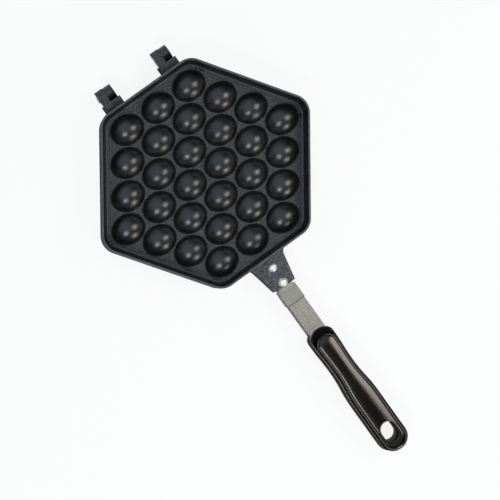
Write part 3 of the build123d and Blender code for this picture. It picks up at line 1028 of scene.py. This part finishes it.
for node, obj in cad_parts.items():
    material = None
    if "rivet" in node:
        material = RIVET
    elif node.endswith("hinge_pin"):
        material = PIN
    elif node.endswith("screw"):
        material = SCREW
    if material:
        for index in range(len(obj.material_slots)):
            obj.material_slots[index].material = material

# --- Floor, backdrop, lamps and camera ---------------------------------------------------------

FLOOR_LEVEL = -0.2
FLOOR_RADIUS = 6000.0
FLOOR_STEPS = 64
BACKDROP_TOP = 1500.0

# Soft bright patch of sky: its middle, its colour and brightness, and where it fades
SKY_MIDDLE = (-0.12, 0.55, 0.83)
SKY_COLOUR = (0.76, 0.88, 1.0, 1.0)
SKY_FADE = {"From Min": 0.62, "From Max": 0.94, "To Min": 0.03, "To Max": 1.0}

# Name, direction from the pan, size in metres, share of full white on a face turned to it, colour
LAMPS = (
    ("key", (0.552, -0.194, 0.811), 0.70, 0.40, (1.0, 0.98, 0.96)),
    ("cool", (-0.457, -0.254, 0.853), 0.45, 0.36, (0.90, 0.95, 1.0)),
    ("warm", (0.061, -0.906, 0.418), 0.55, 0.32, (1.0, 0.95, 0.90)),
)
LAMP_DISTANCE = 1.6
LAMP_TARGET = Vector((0.0, -0.03, 0.03))

CAMERA_SPOT = (-72.68, 30.70, 1227.17)
CAMERA_RIGHT = (0.80932792, -0.57954702, 0.095465)
CAMERA_UP = (0.58477111, 0.81028534, -0.03847623)
CAMERA_LENS = 102.289
CAMERA_SENSOR = 36.0


def pale_material(name, glow):
    """Pale matt surface: white to the camera and in reflections, with its shadow kept."""
    n = Nodes(name)
    patches = n.remap(n.noise(scale=3, detail=2), 0.3, 0.7)
    n.link(n.mix(patches, (0.80, 0.80, 0.80), (0.82, 0.82, 0.82)), n.shader.inputs["Base Color"])
    n.shader.inputs["Roughness"].default_value = 0.9
    n.shader.inputs["Specular IOR Level"].default_value = 0.0
    path = n.add("ShaderNodeLightPath").outputs
    seen = n.math("MAXIMUM", path["Is Camera Ray"], path["Is Glossy Ray"])
    seen = n.math("MAXIMUM", seen, path["Is Transmission Ray"])
    emission = n.add("ShaderNodeEmission")
    emission.inputs["Strength"].default_value = 1.0
    mixer = n.add("ShaderNodeMixShader")
    n.link(n.math("MULTIPLY", seen, glow), mixer.inputs[0])
    n.link(n.shader.outputs[0], mixer.inputs[1])
    n.link(emission.outputs[0], mixer.inputs[2])
    n.link(mixer.outputs[0], n.tree.nodes["Material Output"].inputs["Surface"])
    return n.material


ring = circle((0, 0), FLOOR_RADIUS, FLOOR_STEPS)
floor = new_mesh("floor", [(x, y, FLOOR_LEVEL) for x, y in ring], [list(range(FLOOR_STEPS))])
floor.data.materials.append(pale_material("pale_floor", 0.88))
wall_points = [(x, y, z) for z in (FLOOR_LEVEL, BACKDROP_TOP) for x, y in ring]
wall = new_mesh("backdrop", wall_points, bands(2, FLOOR_STEPS))
wall.data.materials.append(pale_material("pale_backdrop", 1.0))

world = bpy.data.worlds.new("studio")
bpy.context.scene.world = world
world.use_nodes = True
sky = world.node_tree
background = sky.nodes["Background"].inputs
background["Color"].default_value = SKY_COLOUR
aim = sky.nodes.new("ShaderNodeVectorMath")
aim.operation = "DOT_PRODUCT"
aim.inputs[1].default_value = Vector(SKY_MIDDLE).normalized()
fade = sky.nodes.new("ShaderNodeMapRange")
fade.interpolation_type = "SMOOTHSTEP"
for key, number in SKY_FADE.items():
    fade.inputs[key].default_value = number
sky.links.new(sky.nodes.new("ShaderNodeTexCoord").outputs["Generated"], aim.inputs[0])
sky.links.new(aim.outputs["Value"], fade.inputs["Value"])
sky.links.new(fade.outputs["Result"], background["Strength"])

for name, direction, size, level, colour in LAMPS:
    lamp_data = bpy.data.lights.new(name, "AREA")
    lamp_data.shape = "DISK"
    lamp_data.size = size
    lamp_data.energy = level * math.pi**2 * LAMP_DISTANCE**2
    lamp_data.color = colour
    lamp = bpy.data.objects.new(name, lamp_data)
    bpy.context.scene.collection.objects.link(lamp)
    toward = Vector(direction).normalized()
    lamp.location = LAMP_TARGET + toward * LAMP_DISTANCE
    lamp.rotation_euler = toward.to_track_quat("Z", "Y").to_euler()

camera_data = bpy.data.cameras.new("camera")
camera_data.sensor_width = CAMERA_SENSOR
camera_data.lens = CAMERA_LENS
camera = bpy.data.objects.new("camera", camera_data)
bpy.context.scene.collection.objects.link(camera)
right, up = Vector(CAMERA_RIGHT), Vector(CAMERA_UP)
turn = Matrix((right, up, right.cross(up))).transposed().to_4x4()
camera.matrix_world = Matrix.Translation(Vector(CAMERA_SPOT) * MM) @ turn
bpy.context.scene.camera = camera
bpy.context.scene.view_settings.view_transform = "Standard"
